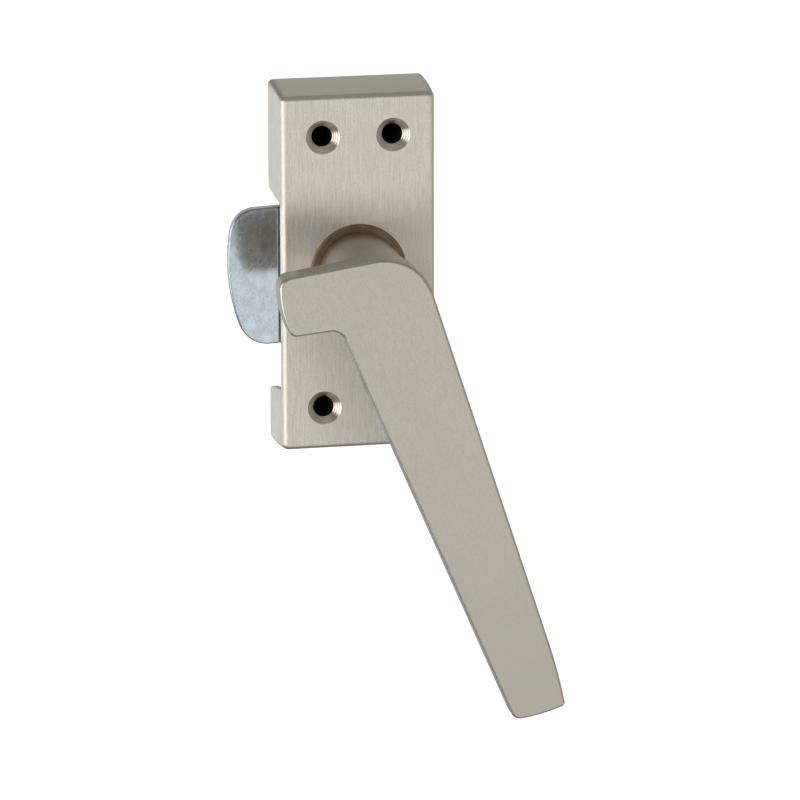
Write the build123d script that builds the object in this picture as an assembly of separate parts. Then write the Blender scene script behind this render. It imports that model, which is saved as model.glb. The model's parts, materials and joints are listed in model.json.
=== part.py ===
from build123d import *
import math
import os

# Every piece is drawn lying on its back: x to the right, y up the window, z out of the
# wall plane towards the hand. The whole latch is then stood up, so that +Z is up and the
# front faces -Y. The spindle's axis is x = y = 0 and the wall plane is z = 0.
STAND_UP = Plane.XZ.location

# Housing, a shell that is open at the back and swells towards the wall
HOUSING_DEPTH = 15.6
HALF_WIDTH_FRONT = 17.8
HALF_WIDTH_BACK = 18.2
HALF_HEIGHT_FRONT = 41.35
HALF_HEIGHT_BACK = 42.75
CORNER_ROUNDING = 1.4
FRONT_ROUNDING = 1.2
FRONT_WALL = 2.0
SIDE_WALL = 1.5
END_WALL = 2.0
CAVITY_CORNER = 1.2

# Four countersunk screw holes and the posts that carry them back to the wall
HOLE_SPACING_X = 16.3
HOLE_SPACING_Y = 63.6
HOLE_RADIUS = 2.4
SINK_RADIUS = 3.95
POST_RADIUS = 4.7
POST_RELIEF_RADIUS = 30.1

# Slot in the left wall, which the tongue comes out of
SLOT_TOP_AT_FRONT = 16.4
SLOT_TOP_AT_WALL = 17.7
SLOT_BOTTOM_AT_FRONT = -27.5
SLOT_BOTTOM_AT_WALL = -29.8
SLOT_INNER_CORNER = 0.8
SLOT_TOP_MOUTH_ROUNDING = 1.8
SLOT_BOTTOM_MOUTH_ROUNDING = 2.6
SLOT_OVERCUT = 5.0

# Stop ribs inside the housing, one for the shut tongue and one for the open one
STOP_GAP = 0.12
STOP_THICKNESS = 2.4
STOP_LENGTH = 4.0
STOP_OFFSET = 12.0

# Bearing bush round the lever's journal
JOURNAL_RADIUS = 7.5
RUNNING_CLEARANCE = 0.05
BUSH_BODY_RADIUS = 9.5
BUSH_FLANGE_RADIUS = 11.2
BUSH_FLANGE_THICKNESS = 0.7
BUSH_TAIL = 0.55

# Tongue, a flat plate on the spindle's square, level when the latch is shut
TONGUE_BACK = 9.6
TONGUE_THICKNESS = 2.5
TONGUE_UPPER_EDGE = 16.3
TONGUE_LOWER_EDGE = -15.75
TONGUE_REACH = 29.54
TONGUE_END_RADIUS = 44.6
TONGUE_END_HEIGHT = 1.9
TONGUE_UPPER_CORNER = 6.0
TONGUE_LOWER_CORNER = 7.0
TONGUE_EDGE_CHAMFER = 0.2

# Square spindle and the screw that holds the tongue on it
SQUARE = 8.0
SQUARE_CLEARANCE = 0.05
SPINDLE_DEPTH_IN_LEVER = 24.0
SPINDLE_SHORTFALL = 0.2
SPINDLE_CHAMFER = 0.5
SCREW_RADIUS = 2.5
SCREW_LENGTH = 11.0
TAPPED_DEPTH = 13.0
SCREW_HEAD_RADIUS = 4.6
SCREW_HEAD_HEIGHT = 2.0
DRIVE_WIDTH = 1.2
DRIVE_SPAN = 4.8
DRIVE_DEPTH = 1.2
PLAIN_WASHER_RADIUS = 7.8
PLAIN_WASHER_THICKNESS = 1.0
LOCK_WASHER_RADIUS = 4.4
LOCK_WASHER_THICKNESS = 1.0
LOCK_WASHER_SPLIT = 0.8
WASHER_BORE_RADIUS = 2.7

# Washer and disc springs that load the lever and keep it where it is left
THRUST_BORE_RADIUS = 7.8
THRUST_RADIUS = 11.4
THRUST_WASHER_THICKNESS = 0.9
SPRING_BORE_RADIUS = 6.0
SPRING_RADIUS = 9.4
SPRING_THICKNESS = 0.6
SPRING_STACK = 2.6

# Lever, one casting: journal, round neck, and a flat blade with a hook at its head
LEVER_FRONT = 47.1
LEVER_THICKNESS = 6.0
NECK_RADIUS = 9.5
NECK_END_RADIUS = 9.7
NECK_GAP = 0.2
NECK_COVE = 4.2
NECK_ROOT_ROUNDING = 0.3
LEVER_FRONT_ROUNDING = 0.7
LEVER_BACK_ROUNDING = 0.8
HEAD_TOP_LEFT = (-23.25, 7.91)
HEAD_TOP_RIGHT = (8.67, 10.99)
BLADE_RIGHT_BEND = (33.95, -84.0)
TIP_RIGHT = (37.0, -99.1)
TIP_MIDDLE = (31.4, -100.6)
TIP_LEFT = (24.83, -101.3)
HOOK_INNER = (-10.18, -5.26)
HOOK_BOTTOM_LEFT = (-21.33, -5.84)
HOOK_SIDE_MIDDLE = (-23.33, 1.3)
HEAD_LEFT_CORNER = 3.0
HEAD_RIGHT_CORNER = 12.1
TIP_RIGHT_CORNER = 0.95
TIP_LEFT_CORNER = 2.4
HOOK_INNER_CORNER = 3.3
HOOK_BOTTOM_CORNER = 1.9

# Turns from shut, anticlockwise seen from the front: as it stands, and fully open
REST_TURN = 3.0
OPEN_TURN = 78.0

TONGUE_FRONT = TONGUE_BACK + TONGUE_THICKNESS
BUSH_FACE = HOUSING_DEPTH + BUSH_FLANGE_THICKNESS
NECK_ROOT = BUSH_FACE + NECK_GAP
LEVER_BACK = LEVER_FRONT - LEVER_THICKNESS
CAVITY_TOP = HOUSING_DEPTH - FRONT_WALL
BUSH_END = CAVITY_TOP - BUSH_TAIL
WASHER_TOP = TONGUE_BACK - SPRING_STACK
SCREW_SEAT = WASHER_TOP - PLAIN_WASHER_THICKNESS - LOCK_WASHER_THICKNESS
REACH_OF_CUT = 60.0


def swell(front, back, height):
    """Half size of the housing at a height above the wall, fullest at the wall."""
    return back - (back - front) * (height / HOUSING_DEPTH) ** 2


def swelling_profile(front, back, height):
    """Section across the housing: a flat front, a flat back and two convex sides."""
    middle = back - (back - front) / 4
    right = ThreePointArc((back, 0), (middle, height / 2), (front, height))
    left = ThreePointArc((-front, height), (-middle, height / 2), (-back, 0))
    top = Line((front, height), (-front, height))
    bottom = Line((-back, 0), (back, 0))
    return make_face([right.edge(), top.edge(), left.edge(), bottom.edge()])


def swelling_block(width_front, width_back, height_front, height_back, height):
    """Block whose four sides are all convex, from two crossed sections."""
    across = Plane.XZ * swelling_profile(width_front, width_back, height)
    along = Plane.YZ * swelling_profile(height_front, height_back, height)
    return extrude(across, REACH_OF_CUT, both=True) & extrude(along, REACH_OF_CUT, both=True)


def upright_edges(solid, height):
    return [edge for edge in solid.edges() if edge.bounding_box().size.Z > 0.9 * height]


def cylinder(radius, bottom, top):
    return Pos(0, 0, bottom) * Cylinder(radius, top - bottom, align=(Align.CENTER, Align.CENTER, Align.MIN))


def ring(outer, inner, bottom, top):
    return cylinder(outer, bottom, top) - cylinder(inner, bottom, top)


def square_bar(size, bottom, top):
    return Pos(0, 0, bottom) * Box(size, size, top - bottom, align=(Align.CENTER, Align.CENTER, Align.MIN))


def block(low, high):
    size = [b - a for a, b in zip(low, high)]
    return Pos(*low) * Box(*size, align=(Align.MIN, Align.MIN, Align.MIN))


def turned(points):
    """Solid of revolution about the spindle's axis from radius and height pairs."""
    return revolve(Plane.XZ * make_face(Polyline(*points, close=True).edges()), Axis.Z)


def round_corner(sketch, corner, radius):
    return fillet(sketch.vertices().sort_by_distance(Vector(*corner))[0], radius)


def outer_shell():
    body = swelling_block(
        HALF_WIDTH_FRONT, HALF_WIDTH_BACK, HALF_HEIGHT_FRONT, HALF_HEIGHT_BACK, HOUSING_DEPTH)
    body = fillet(upright_edges(body, HOUSING_DEPTH), CORNER_ROUNDING)
    body = fillet(body.faces().sort_by(Axis.Z)[-1].edges(), FRONT_ROUNDING)
    cavity = swelling_block(
        swell(HALF_WIDTH_FRONT, HALF_WIDTH_BACK, CAVITY_TOP) - SIDE_WALL,
        HALF_WIDTH_BACK - SIDE_WALL,
        swell(HALF_HEIGHT_FRONT, HALF_HEIGHT_BACK, CAVITY_TOP) - END_WALL,
        HALF_HEIGHT_BACK - END_WALL,
        CAVITY_TOP)
    return body - fillet(upright_edges(cavity, CAVITY_TOP), CAVITY_CORNER)


def tongue_slot():
    """Cutter for the slot in the left wall: flared and rounded where it meets the wall plane."""
    corners = [
        (SLOT_TOP_AT_FRONT, CAVITY_TOP),
        (SLOT_TOP_AT_WALL, 0),
        (SLOT_TOP_AT_WALL + SLOT_OVERCUT, 0),
        (SLOT_TOP_AT_WALL + SLOT_OVERCUT, -SLOT_OVERCUT),
        (SLOT_BOTTOM_AT_WALL - SLOT_OVERCUT, -SLOT_OVERCUT),
        (SLOT_BOTTOM_AT_WALL - SLOT_OVERCUT, 0),
        (SLOT_BOTTOM_AT_WALL, 0),
        (SLOT_BOTTOM_AT_FRONT, CAVITY_TOP),
    ]
    profile = Sketch() + make_face(Polyline(*corners, close=True).edges())
    profile = round_corner(profile, corners[0], SLOT_INNER_CORNER)
    profile = round_corner(profile, corners[-1], SLOT_INNER_CORNER)
    profile = round_corner(profile, corners[1], SLOT_TOP_MOUTH_ROUNDING)
    profile = round_corner(profile, corners[6], SLOT_BOTTOM_MOUTH_ROUNDING)
    inside = SIDE_WALL - HALF_WIDTH_BACK + CAVITY_CORNER
    return extrude(Plane.YZ.offset(inside) * profile, -REACH_OF_CUT)


def screw_posts():
    """Posts from the front wall to the wall plane; the lower two leave room for the tongue."""
    post = cylinder(POST_RADIUS, 0, CAVITY_TOP)
    sweep = cylinder(POST_RELIEF_RADIUS, 0, CAVITY_TOP)
    sides = (-HOLE_SPACING_X / 2, HOLE_SPACING_X / 2)
    upper = [Pos(x, HOLE_SPACING_Y / 2, 0) * post for x in sides]
    lower = [Pos(x, -HOLE_SPACING_Y / 2, 0) * post - sweep for x in sides]
    return upper + lower


def screw_holes():
    sink_depth = SINK_RADIUS - HOLE_RADIUS
    sink = Pos(0, 0, HOUSING_DEPTH - sink_depth) * Cone(
        HOLE_RADIUS, SINK_RADIUS, sink_depth, align=(Align.CENTER, Align.CENTER, Align.MIN))
    hole = cylinder(HOLE_RADIUS, 0, HOUSING_DEPTH) + sink
    return [
        Pos(x, y, 0) * hole
        for x in (-HOLE_SPACING_X / 2, HOLE_SPACING_X / 2)
        for y in (-HOLE_SPACING_Y / 2, HOLE_SPACING_Y / 2)
    ]


def stop_ribs():
    """Cast ribs: one above the shut tongue and one that its lower edge meets when it is open."""
    left = -STOP_OFFSET - STOP_LENGTH / 2
    right = -STOP_OFFSET + STOP_LENGTH / 2
    above = TONGUE_UPPER_EDGE + STOP_GAP
    below = TONGUE_LOWER_EDGE - STOP_GAP
    shut = block((left, above, TONGUE_BACK), (right, above + STOP_THICKNESS, CAVITY_TOP))
    opened = block((left, below - STOP_THICKNESS, TONGUE_BACK), (right, below, CAVITY_TOP))
    return [shut, Rot(Z=OPEN_TURN) * opened]


def housing():
    body = outer_shell()
    body += screw_posts()
    body += stop_ribs()
    body -= tongue_slot()
    body -= screw_holes()
    return body - cylinder(BUSH_BODY_RADIUS, 0, HOUSING_DEPTH)


def bearing_bush():
    """Flanged bush with a rounded flange that shows as a ring round the lever's neck."""
    flange = cylinder(BUSH_FLANGE_RADIUS, HOUSING_DEPTH, BUSH_FACE)
    rim = flange.edges().filter_by(GeomType.CIRCLE).sort_by(Axis.Z)[-1]
    flange = fillet(rim, BUSH_FLANGE_THICKNESS / 2)
    body = cylinder(BUSH_BODY_RADIUS, BUSH_END, HOUSING_DEPTH)
    return flange + body - cylinder(JOURNAL_RADIUS + RUNNING_CLEARANCE, BUSH_END, BUSH_FACE)


def thrust_washer():
    return ring(THRUST_RADIUS, THRUST_BORE_RADIUS, BUSH_END - THRUST_WASHER_THICKNESS, BUSH_END)


def disc_spring(wide, narrow):
    """Dished ring whose outer rim lies at height wide and whose bore lies at height narrow."""
    step = math.copysign(SPRING_THICKNESS, narrow - wide)
    return turned([
        (SPRING_RADIUS, wide),
        (SPRING_RADIUS, wide + step),
        (SPRING_BORE_RADIUS, narrow),
        (SPRING_BORE_RADIUS, narrow - step),
    ])


def disc_springs():
    """Two dished rings rim to rim between the tongue and the plain washer."""
    middle = (TONGUE_BACK + WASHER_TOP) / 2
    return disc_spring(middle, TONGUE_BACK), disc_spring(middle, WASHER_TOP)


def tongue():
    """Flat plate with a round hub end and a gently curved outer end."""
    end_centre = TONGUE_END_RADIUS - TONGUE_REACH
    hub_middle = (TONGUE_UPPER_EDGE + TONGUE_LOWER_EDGE) / 2
    hub_side = (TONGUE_UPPER_EDGE - TONGUE_LOWER_EDGE) / 2

    def end_corner(edge):
        rise = edge - TONGUE_END_HEIGHT
        return end_centre - math.sqrt(TONGUE_END_RADIUS ** 2 - rise ** 2), edge

    upper = end_corner(TONGUE_UPPER_EDGE)
    lower = end_corner(TONGUE_LOWER_EDGE)
    outline = [
        ThreePointArc(upper, (-TONGUE_REACH, TONGUE_END_HEIGHT), lower),
        Line(lower, (0, TONGUE_LOWER_EDGE)),
        ThreePointArc((0, TONGUE_LOWER_EDGE), (hub_side, hub_middle), (0, TONGUE_UPPER_EDGE)),
        Line((0, TONGUE_UPPER_EDGE), upper),
    ]
    profile = Sketch() + make_face([line.edge() for line in outline])
    profile = round_corner(profile, upper, TONGUE_UPPER_CORNER)
    profile = round_corner(profile, lower, TONGUE_LOWER_CORNER)
    plate = extrude(Plane.XY.offset(TONGUE_BACK) * profile, TONGUE_THICKNESS)
    faces = plate.faces().sort_by(Axis.Z)
    plate = chamfer(faces[0].edges() + faces[-1].edges(), TONGUE_EDGE_CHAMFER)
    return plate - square_bar(SQUARE + 2 * SQUARE_CLEARANCE, TONGUE_BACK, TONGUE_FRONT)


def square_spindle():
    bottom = WASHER_TOP + SPINDLE_SHORTFALL
    bar = square_bar(SQUARE, bottom, TONGUE_FRONT + SPINDLE_DEPTH_IN_LEVER)
    bar = chamfer(bar.faces().sort_by(Axis.Z)[0].edges(), SPINDLE_CHAMFER)
    return bar - cylinder(SCREW_RADIUS, bottom, bottom + TAPPED_DEPTH)


def plain_washer():
    return ring(PLAIN_WASHER_RADIUS, WASHER_BORE_RADIUS, WASHER_TOP - PLAIN_WASHER_THICKNESS, WASHER_TOP)


def lock_washer():
    """Split ring under the screw's head."""
    split = block(
        (0, -LOCK_WASHER_SPLIT / 2, SCREW_SEAT),
        (LOCK_WASHER_RADIUS, LOCK_WASHER_SPLIT / 2, SCREW_SEAT + LOCK_WASHER_THICKNESS))
    washer = ring(LOCK_WASHER_RADIUS, WASHER_BORE_RADIUS, SCREW_SEAT, SCREW_SEAT + LOCK_WASHER_THICKNESS)
    return washer - split


def retaining_screw():
    """Low-headed machine screw with a cross recess, its head towards the wall."""
    crown = SCREW_SEAT - SCREW_HEAD_HEIGHT
    head = cylinder(SCREW_HEAD_RADIUS, crown, SCREW_SEAT)
    rim = head.edges().filter_by(GeomType.CIRCLE).sort_by(Axis.Z)[0]
    head = fillet(rim, SCREW_HEAD_HEIGHT / 2)
    arm = block(
        (-DRIVE_SPAN / 2, -DRIVE_WIDTH / 2, crown),
        (DRIVE_SPAN / 2, DRIVE_WIDTH / 2, crown + DRIVE_DEPTH))
    recess = arm + Rot(Z=90) * arm
    return head + cylinder(SCREW_RADIUS, SCREW_SEAT, SCREW_SEAT + SCREW_LENGTH) - recess


def lever_outline():
    """Front view of the blade and its hook, with the latch shut."""
    right_edge = Line(HEAD_TOP_RIGHT, BLADE_RIGHT_BEND)
    tip_side = TangentArc(BLADE_RIGHT_BEND, TIP_RIGHT, tangent=right_edge % 1)
    lines = [
        Line(HEAD_TOP_LEFT, HEAD_TOP_RIGHT),
        right_edge,
        tip_side,
        ThreePointArc(TIP_RIGHT, TIP_MIDDLE, TIP_LEFT),
        Line(TIP_LEFT, HOOK_INNER),
        Line(HOOK_INNER, HOOK_BOTTOM_LEFT),
        ThreePointArc(HOOK_BOTTOM_LEFT, HOOK_SIDE_MIDDLE, HEAD_TOP_LEFT),
    ]
    outline = Sketch() + make_face([line.edge() for line in lines])
    outline = round_corner(outline, HEAD_TOP_RIGHT, HEAD_RIGHT_CORNER)
    outline = round_corner(outline, HEAD_TOP_LEFT, HEAD_LEFT_CORNER)
    outline = round_corner(outline, TIP_RIGHT, TIP_RIGHT_CORNER)
    outline = round_corner(outline, TIP_LEFT, TIP_LEFT_CORNER)
    outline = round_corner(outline, HOOK_INNER, HOOK_INNER_CORNER)
    return round_corner(outline, HOOK_BOTTOM_LEFT, HOOK_BOTTOM_CORNER)


def lever_neck():
    """Round neck, slightly tapered, with a cove that spreads into the back of the head."""
    cove_start = LEVER_BACK - NECK_COVE
    rim = NECK_END_RADIUS + NECK_COVE
    bulge = NECK_COVE * math.sqrt(0.5)
    top_inside = LEVER_BACK + LEVER_BACK_ROUNDING
    lines = [
        Polyline((0, top_inside), (0, NECK_ROOT), (NECK_RADIUS, NECK_ROOT), (NECK_END_RADIUS, cove_start)),
        ThreePointArc(
            (NECK_END_RADIUS, cove_start), (rim - bulge, cove_start + bulge), (rim, LEVER_BACK)),
        Polyline((rim, LEVER_BACK), (rim, top_inside), (0, top_inside)),
    ]
    neck = revolve(Plane.XZ * make_face([edge for line in lines for edge in line.edges()]), Axis.Z)
    return fillet(neck.faces().sort_by(Axis.Z)[0].edges(), NECK_ROOT_ROUNDING)


def lever_handle():
    outline = lever_outline()
    blade = extrude(Plane.XY.offset(LEVER_BACK) * outline, LEVER_THICKNESS)
    lever = blade + (lever_neck() & extrude(outline, REACH_OF_CUT))
    straight = lever.edges().filter_by(GeomType.LINE)
    back_rim = straight.filter_by_position(Axis.Z, LEVER_BACK, LEVER_BACK)
    lever = fillet(back_rim, LEVER_BACK_ROUNDING)
    lever = fillet(lever.faces().sort_by(Axis.Z)[-1].edges(), LEVER_FRONT_ROUNDING)
    lever += cylinder(JOURNAL_RADIUS, TONGUE_FRONT, NECK_ROOT)
    return lever - square_bar(SQUARE, TONGUE_FRONT, TONGUE_FRONT + SPINDLE_DEPTH_IN_LEVER)


def all_pieces():
    """Every piece by name; those on the spindle stand turned from shut by the rest turn."""
    fixed = {
        "housing": housing(),
        "bearing_bush": bearing_bush(),
        "thrust_washer": thrust_washer(),
    }
    front_spring, back_spring = disc_springs()
    turning = {
        "lever_handle": lever_handle(),
        "square_spindle": square_spindle(),
        "disc_spring_front": front_spring,
        "disc_spring_back": back_spring,
        "tongue": tongue(),
        "plain_washer": plain_washer(),
        "lock_washer": lock_washer(),
        "retaining_screw": retaining_screw(),
    }
    return fixed | {name: Rot(Z=REST_TURN) * piece for name, piece in turning.items()}


os.makedirs("parts", exist_ok=True)
for name, piece in all_pieces().items():
    export_step(STAND_UP * piece, f"parts/{name}.step")
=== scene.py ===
import json
import math

import bpy
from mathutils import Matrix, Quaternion, Vector


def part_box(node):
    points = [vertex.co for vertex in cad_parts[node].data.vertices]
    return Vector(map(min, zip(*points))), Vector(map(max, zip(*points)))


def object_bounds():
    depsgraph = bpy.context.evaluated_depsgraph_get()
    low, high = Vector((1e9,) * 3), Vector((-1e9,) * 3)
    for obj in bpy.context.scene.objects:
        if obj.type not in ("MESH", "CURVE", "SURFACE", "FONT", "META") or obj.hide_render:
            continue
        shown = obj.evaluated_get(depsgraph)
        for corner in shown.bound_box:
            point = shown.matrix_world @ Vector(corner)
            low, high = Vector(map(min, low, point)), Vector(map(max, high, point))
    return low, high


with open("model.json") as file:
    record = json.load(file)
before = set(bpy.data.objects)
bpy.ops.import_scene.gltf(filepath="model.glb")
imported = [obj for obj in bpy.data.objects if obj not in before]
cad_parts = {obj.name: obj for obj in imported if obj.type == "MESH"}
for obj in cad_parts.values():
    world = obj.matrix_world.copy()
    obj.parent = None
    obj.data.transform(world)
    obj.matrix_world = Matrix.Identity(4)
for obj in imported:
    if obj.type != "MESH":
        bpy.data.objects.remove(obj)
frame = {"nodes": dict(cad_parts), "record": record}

CAD_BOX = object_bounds()
NODES = frame["nodes"]
MM = 0.001


def grey(level):
    return (level, level, level, 1.0)


def colour(red, green, blue):
    return (red, green, blue, 1.0)


# Where the photographer stood: left of the latch and above it, with a long lens
CAMERA_PLACE = Vector((-0.21209, -1.16299, 0.27395))
CAMERA_TARGET = Vector((0.009749, -0.014677, -0.03109))
CAMERA_ROLL = math.radians(-0.1465)
CAMERA_LENS = 235.03
CAMERA_SENSOR = 36.0
CAMERA_NEAR = 0.05
CAMERA_FAR = 30.0

# Soft studio light: a plain surround, and lobes added to it, each with its direction, inner and
# outer angle in degrees, brightness and tint
SURROUND = 0.27
NEUTRAL = (1.0, 1.0, 1.0)
COOL = (0.84, 0.97, 1.16)
DAYLIGHT = (0.98, 1.0, 1.05)
WARM = (1.05, 1.0, 0.86)
LIGHT_LOBES = {
    "front": ((0.22, -0.88, -0.45), 18, 42, 0.63, NEUTRAL),
    "left": ((-0.86, -0.50, -0.10), 18, 38, 2.1, DAYLIGHT),
    "right": ((0.95, -0.05, -0.10), 15, 50, 0.26, WARM),
    "back_left": ((-0.60, 0.75, -0.25), 20, 42, 0.45, COOL),
    "back_top": ((0.25, 0.85, 0.45), 15, 45, 0.19, WARM),
    "top": ((0.18, -0.25, 0.95), 10, 45, 0.12, NEUTRAL),
}

# White floor, this far below the lowest point of the latch
FLOOR_DROP = 12 * MM
FLOOR_HALF_SIZE = 4.0
FLOOR_DARK = grey(0.90)
FLOOR_LIGHT = grey(0.92)
FLOOR_ROUGHNESS = 0.9
FLOOR_GLOW = 0.8

# The four screw holes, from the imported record
HOLES = frame["record"]["mounts"][0]["dims"]
HOLE_X = HOLES["spacing_x_mm"] / 2 * MM
HOLE_Z = HOLES["spacing_y_mm"] / 2 * MM
HOLE_RADIUS = HOLES["hole_r_mm"] * MM

# The countersinks, with the groove that the cutter left
SINK_RADIUS = 3.91 * MM
SINK_START = 0.05 * MM
SINK_SHARE = 0.85
SINK_POLISH = 0.05
GROOVE_PITCH = 0.46 * MM
GROOVE_RELIEF = 0.009 * MM
GROOVE_DARK = colour(0.62, 0.55, 0.45)
GROOVE_LIGHT = colour(0.95, 0.87, 0.74)

# Behind the housing's front face: where painted shade darkens the bores and where the raw hollow starts,
# as depths, and the half sizes of the hollow
PLATE_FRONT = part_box("housing")[0].y
BORE_RADIUS = 1.02 * HOLE_RADIUS
BORE_SHADE_FADE = (1.1 * MM, 1.8 * MM)
BORE_SHADE_TINT = grey(0.02)
HOLLOW_FADE = (1.9 * MM, 2.6 * MM)
HOLLOW_HALF_WIDTH = 17.1 * MM
HOLLOW_HALF_HEIGHT = 41.1 * MM
HOLLOW_TINT = grey(0.20)
HOLLOW_SHARE = 0.5
HOLLOW_ROUGHNESS = 0.5

# Black discs behind the holes, painted shade seen through them
CARD_CORNERS = 32
CARD_RADIUS = HOLE_RADIUS + 1.2 * MM
CARD_PLACE = 0.2 * MM
SHADE_CARD_DARK = grey(0.010)
SHADE_CARD_LIGHT = grey(0.014)

# How far the blade leans from upright at rest, which its brushing follows
BLADE_LEAN = math.radians(-20.4)

# Satin nickel: the tints of its brush lines, their width, depth and length, how far they lean,
# the roughness, how far highlights smear across the lines, the relief and the width of the worn edges,
# whose lighter tint is partly a painted highlight
HOUSING_NICKEL = {
    "light": colour(0.79, 0.735, 0.64),
    "dark": colour(0.62, 0.57, 0.48),
    "grain": (0.17 * MM, 0.17 * MM, 3.4 * MM),
    "lean": 0.0,
    "roughness": 0.37,
    "smear": 0.95,
    "relief": 0.008 * MM,
    "wear_and_highlight": 1.2 * MM,
}
LEVER_NICKEL = {
    "light": colour(0.62, 0.576, 0.504),
    "dark": colour(0.525, 0.481, 0.413),
    "grain": (0.14 * MM, 0.14 * MM, 1.1 * MM),
    "lean": BLADE_LEAN,
    "roughness": 0.28,
    "smear": 0.5,
    "relief": 0.0015 * MM,
    "wear_and_highlight": 0.7 * MM,
}
COARSE_LINES = 2.6
FINE_LINES_SHARE = 0.72
LINES_SHARE = 0.6
SPECK_SIZE = (0.16 * MM, 0.16 * MM, 0.60 * MM)
NICKEL_CLOUD_SIZE = (10 * MM, 10 * MM, 16 * MM)
# Share of light tint on worn edges, partly a painted highlight on the roundings
WORN_AND_HIGHLIGHT_SHARE = 0.7
WORN_POLISH = 0.16

# Heights between which painted shade darkens the blade, more towards its lower end
BLADE_SHADE_SPAN = (-20 * MM, -100 * MM)
BLADE_SHADE_TINT = colour(0.475, 0.44, 0.38)
BLADE_SHADE_SHARE = 0.60

BRONZE_DARK = colour(0.20, 0.135, 0.075)
BRONZE_LIGHT = colour(0.39, 0.28, 0.16)
BRONZE_STAIN = colour(0.17, 0.115, 0.06)
BRONZE_GRAIN_SIZE = (0.16 * MM, 0.16 * MM, 0.16 * MM)
BRONZE_STAIN_SIZE = (3 * MM, 3 * MM, 3 * MM)

ZINC_DARK = colour(0.47, 0.545, 0.59)
ZINC_LIGHT = colour(0.59, 0.665, 0.72)
ZINC_BLOOM = colour(0.67, 0.755, 0.83)
ZINC_CLOUD = colour(0.50, 0.51, 0.475)
ZINC_SCRATCH = colour(0.86, 0.89, 0.90)
# Painted shade along the tongue's edges
ZINC_EDGE_SHADE = grey(0.05)
ZINC_GRAIN_SIZE = (0.30 * MM, 0.30 * MM, 0.42 * MM)
ZINC_BLOOM_SIZE = (2.2 * MM, 2.2 * MM, 3.0 * MM)
ZINC_CLOUD_SIZE = (3.5 * MM, 3.5 * MM, 6.0 * MM)
SCRATCH_SIZE = (0.09 * MM, 0.09 * MM, 4.0 * MM)
SCRATCH_LEANS = (0.12, -0.3, 0.7)
SCRATCH_SHARE = 0.6
SCRATCH_ROUGHNESS = 0.13

FASTENER_STEEL = {"light": colour(0.66, 0.67, 0.68), "dark": colour(0.50, 0.51, 0.52), "roughness": 0.30}
SPRING_STEEL = {"light": colour(0.34, 0.34, 0.35), "dark": colour(0.22, 0.22, 0.23), "roughness": 0.32}
STEEL_GRAIN_SIZE = (0.2 * MM, 0.6 * MM, 0.2 * MM)
STEEL_CLOUD_SIZE = (3 * MM, 3 * MM, 3 * MM)

# Most of a noise's values lie in this span
NOISE_SPAN = (0.3, 0.7)


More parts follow.
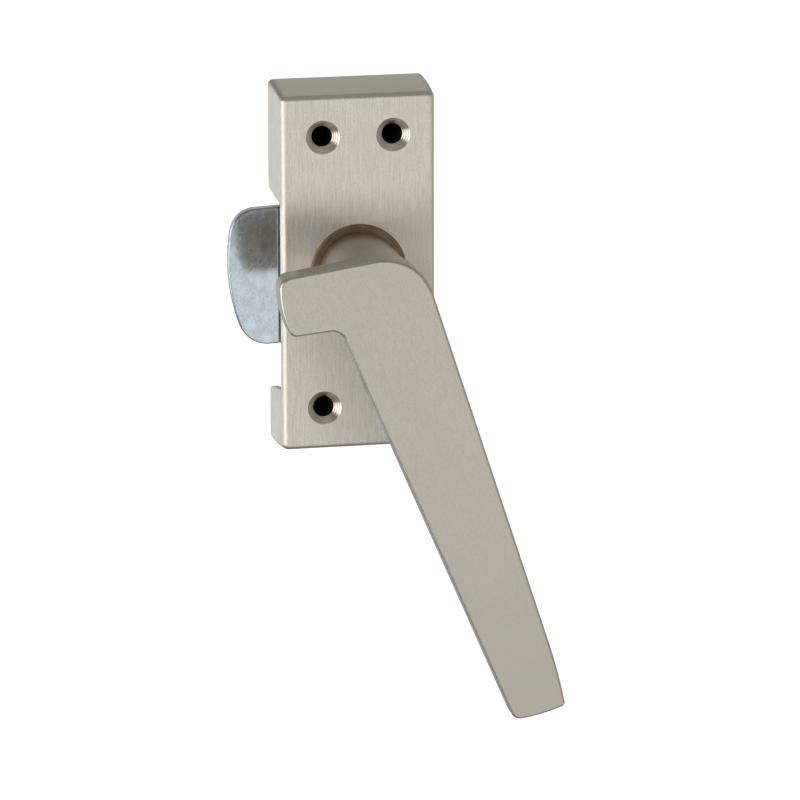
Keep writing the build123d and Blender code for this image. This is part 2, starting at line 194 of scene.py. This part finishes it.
class Finish:
    """A procedural material; each helper adds nodes and returns an output socket."""

    def __init__(self, name):
        self.material = bpy.data.materials.new(name)
        self.material.use_nodes = True
        self.tree = self.material.node_tree
        self.shader = self.tree.nodes["Principled BSDF"]
        self.place = self.node("ShaderNodeTexCoord").outputs["Object"]

    def node(self, kind, **settings):
        made = self.tree.nodes.new(kind)
        for name, value in settings.items():
            setattr(made, name, value)
        return made

    def feed(self, socket, value):
        if isinstance(value, bpy.types.NodeSocket):
            self.tree.links.new(value, socket)
        else:
            socket.default_value = value

    def set(self, **values):
        """Feeds the shader's sockets, named with underscores for spaces."""
        for name, value in values.items():
            self.feed(self.shader.inputs[name.replace("_", " ")], value)

    def noise(self, size, lean=0.0, detail=2.0, shift=0.0):
        """Noise whose grain is size metres along each axis, leaning about the Y axis."""
        mapping = self.node("ShaderNodeMapping", vector_type="TEXTURE")
        self.feed(mapping.inputs["Vector"], self.place)
        mapping.inputs["Location"].default_value = (shift, shift, shift)
        mapping.inputs["Rotation"].default_value = (0, lean, 0)
        mapping.inputs["Scale"].default_value = size
        noise = self.node("ShaderNodeTexNoise")
        self.feed(noise.inputs["Vector"], mapping.outputs["Vector"])
        noise.inputs["Scale"].default_value = 1.0
        noise.inputs["Detail"].default_value = detail
        return noise.outputs["Fac"]

    def math(self, operation, first, second=0.0):
        made = self.node("ShaderNodeMath", operation=operation)
        self.feed(made.inputs[0], first)
        self.feed(made.inputs[1], second)
        return made.outputs[0]

    def times(self, first, second):
        return self.math("MULTIPLY", first, second)

    def blend(self, first, second, share):
        """Adds two patterns, the first with this share and the second with the rest."""
        return self.math("ADD", self.times(first, share), self.times(second, 1 - share))

    def remap(self, value, start, stop, low=0.0, high=1.0):
        made = self.node("ShaderNodeMapRange", interpolation_type="SMOOTHSTEP")
        for name, amount in zip(
                ("Value", "From Min", "From Max", "To Min", "To Max"),
                (value, start, stop, low, high)):
            self.feed(made.inputs[name], amount)
        return made.outputs["Result"]

    def mix(self, factor, first, second):
        made = self.node("ShaderNodeMix", data_type="RGBA")
        self.feed(made.inputs[0], factor)
        self.feed(made.inputs[6], first)
        self.feed(made.inputs[7], second)
        return made.outputs[2]

    def overlay(self, tint, pattern, over, span, share=1.0):
        """Lays a tint over another as the pattern rises through the span."""
        return self.mix(self.remap(pattern, *span, 0.0, share), tint, over)

    def cover(self, tint, mask, over, share):
        """Lays a share of a tint over another inside the mask."""
        return self.mix(self.times(mask, share), tint, over)

    def bump(self, height, depth, below=None):
        """Raises the surface by depth metres where height is one."""
        made = self.node("ShaderNodeBump")
        made.inputs["Strength"].default_value = 1.0
        made.inputs["Distance"].default_value = depth
        self.feed(made.inputs["Height"], height)
        if below:
            self.feed(made.inputs["Normal"], below)
        return made.outputs["Normal"]

    def axes(self):
        split = self.node("ShaderNodeSeparateXYZ")
        self.feed(split.inputs[0], self.place)
        return split.outputs

    def level_tangent(self):
        """Direction along the surface that stays level, across upright brush lines.

        Where the surface faces straight up or down, the nudge alone gives the direction.
        """
        upward = (0, 0, 1)
        nudge = (0.001, 0, 0)
        flat = self.node("ShaderNodeNewGeometry").outputs["Normal"]
        across = self.node("ShaderNodeVectorMath", operation="CROSS_PRODUCT")
        self.feed(across.inputs[0], flat)
        across.inputs[1].default_value = upward
        shifted = self.node("ShaderNodeVectorMath", operation="ADD")
        self.feed(shifted.inputs[0], across.outputs[0])
        shifted.inputs[1].default_value = nudge
        return shifted.outputs[0]

    def edge_mask(self, radius, sharp=0.90, flat=0.99):
        """One on edges sharper than the radius, nought on flats, by how far normals agree."""
        bevel = self.node("ShaderNodeBevel", samples=6)
        bevel.inputs["Radius"].default_value = radius
        normal = self.node("ShaderNodeNewGeometry").outputs["Normal"]
        dot = self.node("ShaderNodeVectorMath", operation="DOT_PRODUCT")
        self.feed(dot.inputs[0], bevel.outputs[0])
        self.feed(dot.inputs[1], normal)
        return self.remap(dot.outputs["Value"], flat, sharp)


def nickel(name, light, dark, grain, lean, roughness, smear, relief, wear_and_highlight):
    """Satin nickel: brush lines and specks, faint clouds, and smoother worn edges, lighter partly as a
    painted highlight.
    """
    finish = Finish(name)
    fine = finish.noise(grain, lean, detail=3.0)
    coarse = finish.noise([COARSE_LINES * size for size in grain], lean, shift=0.31)
    speck = finish.noise(SPECK_SIZE, lean, shift=0.17)
    cloud = finish.noise(NICKEL_CLOUD_SIZE, lean, detail=1.0, shift=0.73)
    lines = finish.blend(fine, coarse, FINE_LINES_SHARE)
    brushing = finish.blend(lines, speck, LINES_SHARE)
    edge = finish.edge_mask(wear_and_highlight)
    tint = finish.overlay(dark, brushing, light, span=(0.39, 0.61))
    tint = finish.overlay(tint, cloud, dark, span=(0.3, 0.75), share=0.25)
    # Worn edges get a lighter tint, partly as a painted highlight on the roundings
    tint = finish.cover(tint, edge, light, WORN_AND_HIGHLIGHT_SHARE)
    rough = finish.remap(brushing, *NOISE_SPAN, low=roughness - 0.04, high=roughness + 0.05)
    rough = finish.math("SUBTRACT", rough, finish.times(edge, WORN_POLISH))
    brushed = finish.bump(brushing, relief)
    finish.set(Metallic=1.0, Base_Color=tint, Roughness=rough, Anisotropic=smear, Normal=brushed)
    return finish, tint, rough, brushed


def hole_radius(finish, x, z):
    """Distance from the axis of the nearest screw hole."""
    from_hole = [
        finish.math("SUBTRACT", finish.math("ABSOLUTE", along), offset)
        for along, offset in ((x, HOLE_X), (z, HOLE_Z))
    ]
    squares = [finish.times(part, part) for part in from_hole]
    return finish.math("SQRT", finish.math("ADD", *squares))


def housing_finish():
    """Brushed nickel with turned countersinks, painted shade in the bores and a raw casting inside."""
    finish, tint, rough, brushed = nickel("housing_nickel", **HOUSING_NICKEL)
    x, y, z = finish.axes()
    radius = hole_radius(finish, x, z)
    depth = finish.math("SUBTRACT", y, PLATE_FRONT)

    in_sink = finish.math("LESS_THAN", radius, SINK_RADIUS)
    below_face = finish.math("GREATER_THAN", depth, SINK_START)
    sink = finish.times(in_sink, below_face)
    groove = finish.math("SINE", finish.times(radius, 2 * math.pi / GROOVE_PITCH))
    turned = finish.overlay(GROOVE_DARK, groove, GROOVE_LIGHT, span=(-1.0, 1.0))
    tint = finish.cover(tint, sink, turned, SINK_SHARE)

    inner_x = finish.math("LESS_THAN", finish.math("ABSOLUTE", x), HOLLOW_HALF_WIDTH)
    inner_z = finish.math("LESS_THAN", finish.math("ABSOLUTE", z), HOLLOW_HALF_HEIGHT)
    hollow = finish.times(finish.remap(depth, *HOLLOW_FADE), finish.times(inner_x, inner_z))
    tint = finish.cover(tint, hollow, HOLLOW_TINT, HOLLOW_SHARE)

    # Painted shade: the bores turn near black deeper behind the front face
    in_bore = finish.math("LESS_THAN", radius, BORE_RADIUS)
    bore_shade = finish.times(in_bore, finish.remap(depth, *BORE_SHADE_FADE))
    tint = finish.mix(bore_shade, tint, BORE_SHADE_TINT)

    rough = finish.math("MAXIMUM", rough, finish.times(hollow, HOLLOW_ROUGHNESS))
    rough = finish.math("SUBTRACT", rough, finish.times(sink, SINK_POLISH))
    ridges = finish.bump(finish.times(groove, sink), GROOVE_RELIEF, below=brushed)
    finish.set(Base_Color=tint, Roughness=rough, Normal=ridges, Tangent=finish.level_tangent())
    return finish.material


def lever_finish():
    """Brushed nickel, with painted shade making the blade a little darker towards its lower end."""
    finish, tint, _, _ = nickel("lever_nickel", **LEVER_NICKEL)
    height = finish.axes()[2]
    # Painted shade: the blade's tint darkens as its height falls through the span
    finish.set(Base_Color=finish.overlay(tint, height, BLADE_SHADE_TINT, BLADE_SHADE_SPAN, BLADE_SHADE_SHARE))
    return finish.material


def bronze_finish():
    """Dull sintered bronze: fine open grain, darker where oil has stood."""
    finish = Finish("bush_bronze")
    grain = finish.noise(BRONZE_GRAIN_SIZE, detail=3.0)
    stain = finish.noise(BRONZE_STAIN_SIZE, shift=0.4)
    tint = finish.overlay(BRONZE_DARK, grain, BRONZE_LIGHT, span=(0.35, 0.65))
    tint = finish.overlay(tint, stain, BRONZE_STAIN, span=(0.4, 0.7), share=0.5)
    rough = finish.remap(grain, *NOISE_SPAN, low=0.42, high=0.6)
    open_grain = finish.bump(grain, depth=0.02 * MM)
    finish.set(Metallic=1.0, Base_Color=tint, Roughness=rough, Normal=open_grain)
    return finish.material


def zinc_finish():
    """Bright zinc plate: blue-white, softly clouded, finely scratched, with painted shade along its
    edges.
    """
    finish = Finish("tongue_zinc")
    grain = finish.noise(ZINC_GRAIN_SIZE, detail=4.0)
    cloud = finish.noise(ZINC_CLOUD_SIZE, detail=3.0, shift=0.6)
    bloom = finish.noise(ZINC_BLOOM_SIZE, detail=3.0, shift=0.2)
    scratches = [finish.noise(SCRATCH_SIZE, lean, detail=0.0, shift=lean) for lean in SCRATCH_LEANS]
    scratch = finish.math("MAXIMUM", finish.math("MAXIMUM", *scratches[:2]), scratches[2])
    scored = finish.remap(scratch, 0.65, 0.80)
    tint = finish.overlay(ZINC_DARK, grain, ZINC_LIGHT, span=(0.38, 0.62))
    tint = finish.overlay(tint, bloom, ZINC_BLOOM, span=(0.45, 0.70), share=0.7)
    tint = finish.overlay(tint, cloud, ZINC_CLOUD, span=(0.48, 0.72), share=0.7)
    tint = finish.cover(tint, scored, ZINC_SCRATCH, SCRATCH_SHARE)
    # Painted shade: near-black tint along the tongue's edges
    tint = finish.mix(finish.edge_mask(0.28 * MM, sharp=0.96), tint, ZINC_EDGE_SHADE)
    rough = finish.remap(grain, *NOISE_SPAN, low=0.08, high=0.15)
    rough = finish.math("ADD", rough, finish.times(scored, SCRATCH_ROUGHNESS))
    grained = finish.bump(grain, depth=0.0014 * MM)
    scratched = finish.bump(scratch, depth=0.002 * MM, below=grained)
    finish.set(Metallic=1.0, Base_Color=tint, Roughness=rough, Normal=scratched)
    return finish.material


def steel_finish(name, light, dark, roughness):
    """Turned or pressed steel with fine grain and brighter edges."""
    finish = Finish(name)
    grain = finish.noise(STEEL_GRAIN_SIZE)
    cloud = finish.noise(STEEL_CLOUD_SIZE, shift=0.5)
    tint = finish.overlay(dark, grain, light, NOISE_SPAN)
    tint = finish.overlay(tint, cloud, dark, span=(0.35, 0.7), share=0.4)
    tint = finish.cover(tint, finish.edge_mask(0.3 * MM), light, share=0.4)
    rough = finish.remap(grain, *NOISE_SPAN, low=roughness - 0.06, high=roughness + 0.08)
    grained = finish.bump(grain, depth=0.006 * MM)
    finish.set(Metallic=1.0, Base_Color=tint, Roughness=rough, Normal=grained)
    return finish.material


def dress(material, *names):
    for name in names:
        node = NODES[name]
        if not node.material_slots:
            node.data.materials.append(material)
        for slot in node.material_slots:
            slot.material = material


def dress_all():
    dress(housing_finish(), "housing")
    dress(lever_finish(), "lever_handle")
    dress(bronze_finish(), "bearing_bush")
    dress(zinc_finish(), "tongue")
    steel = steel_finish("fastener_steel", **FASTENER_STEEL)
    dress(steel, "square_spindle", "thrust_washer", "plain_washer", "retaining_screw")
    spring = steel_finish("spring_steel", **SPRING_STEEL)
    dress(spring, "disc_spring_front", "disc_spring_back", "lock_washer")


def make_camera():
    data = bpy.data.cameras.new("camera")
    data.lens = CAMERA_LENS
    data.sensor_width = CAMERA_SENSOR
    data.clip_start = CAMERA_NEAR
    data.clip_end = CAMERA_FAR
    camera = bpy.data.objects.new("camera", data)
    bpy.context.scene.collection.objects.link(camera)
    camera.location = CAMERA_PLACE
    camera.rotation_mode = "QUATERNION"
    aim = (CAMERA_TARGET - CAMERA_PLACE).to_track_quat("-Z", "Y")
    camera.rotation_quaternion = aim @ Quaternion((0, 0, 1), CAMERA_ROLL)
    bpy.context.scene.camera = camera


def make_lobe(tree, direction, axis, inner, outer, brightness, tint):
    """Light that is full inside the inner angle round the axis and gone outside the outer."""
    dot = tree.nodes.new("ShaderNodeVectorMath")
    dot.operation = "DOT_PRODUCT"
    dot.inputs[1].default_value = Vector(axis).normalized()
    tree.links.new(direction, dot.inputs[0])
    lobe = tree.nodes.new("ShaderNodeMapRange")
    lobe.data_type = "FLOAT_VECTOR"
    lobe.interpolation_type = "SMOOTHSTEP"
    span = {
        "From_Min_FLOAT3": [math.cos(math.radians(outer))] * 3,
        "From_Max_FLOAT3": [math.cos(math.radians(inner))] * 3,
        "To_Min_FLOAT3": [0.0] * 3,
        "To_Max_FLOAT3": [brightness * part for part in tint],
    }
    for socket in lobe.inputs:
        if socket.identifier in span:
            socket.default_value = span[socket.identifier]
        elif socket.identifier == "Vector":
            tree.links.new(dot.outputs["Value"], socket)
    return lobe.outputs["Vector"]


def make_surround():
    """Plain grey surround with soft lobes of light; the camera itself sees white."""
    world = bpy.data.worlds.new("studio")
    bpy.context.scene.world = world
    world.use_nodes = True
    tree = world.node_tree
    direction = tree.nodes.new("ShaderNodeTexCoord").outputs["Generated"]
    total = None
    for lobe in LIGHT_LOBES.values():
        add = tree.nodes.new("ShaderNodeVectorMath")
        add.inputs[1].default_value = [SURROUND] * 3
        if total:
            tree.links.new(total, add.inputs[1])
        tree.links.new(make_lobe(tree, direction, *lobe), add.inputs[0])
        total = add.outputs[0]
    white_if_seen = tree.nodes.new("ShaderNodeVectorMath")
    white_if_seen.operation = "MAXIMUM"
    seen = tree.nodes.new("ShaderNodeLightPath").outputs["Is Camera Ray"]
    tree.links.new(seen, white_if_seen.inputs[0])
    tree.links.new(total, white_if_seen.inputs[1])
    tree.links.new(white_if_seen.outputs[0], tree.nodes["Background"].inputs["Color"])


def stage_mesh(name, vertices, faces, finish):
    mesh = bpy.data.meshes.new(name)
    mesh.from_pydata(vertices, [], faces)
    mesh.materials.append(finish.material)
    staged = bpy.data.objects.new(name, mesh)
    bpy.context.scene.collection.objects.link(staged)
    return staged


def make_floor():
    """Plain white floor under the latch, left out of reflections."""
    level = CAD_BOX[0].z - FLOOR_DROP
    size = FLOOR_HALF_SIZE
    corners = [(-size, -size, level), (size, -size, level), (size, size, level), (-size, size, level)]
    finish = Finish("floor_white")
    paper = finish.noise((50 * MM, 50 * MM, 50 * MM))
    tint = finish.mix(paper, FLOOR_DARK, FLOOR_LIGHT)
    finish.set(Base_Color=tint, Roughness=FLOOR_ROUGHNESS)
    finish.set(Emission_Color=grey(1.0), Emission_Strength=FLOOR_GLOW)
    floor = stage_mesh("floor", corners, [(0, 1, 2, 3)], finish)
    floor.visible_glossy = False


def make_hole_shade_cards():
    """Black discs on the wall plane behind the screw holes: painted shade that darkens the holes."""
    finish = Finish("hole_painted_shade")
    # Painted shade: the discs get a near-black tint, slightly mottled
    shade_mottle = finish.noise((2 * MM, 2 * MM, 2 * MM))
    tint = finish.mix(shade_mottle, SHADE_CARD_DARK, SHADE_CARD_LIGHT)
    finish.set(Base_Color=tint, Roughness=1.0, Specular_IOR_Level=0.0)
    vertices = []
    faces = []
    for x in (-HOLE_X, HOLE_X):
        for z in (-HOLE_Z, HOLE_Z):
            faces.append(range(len(vertices), len(vertices) + CARD_CORNERS))
            for corner in range(CARD_CORNERS):
                angle = 2 * math.pi * corner / CARD_CORNERS
                across = CARD_RADIUS * math.cos(angle)
                up = CARD_RADIUS * math.sin(angle)
                vertices.append((x + across, CARD_PLACE, z + up))
    stage_mesh("hole_shade_cards", vertices, faces, finish)


make_camera()
make_surround()
make_floor()
make_hole_shade_cards()
dress_all()
bpy.context.scene.view_settings.view_transform = "Standard"
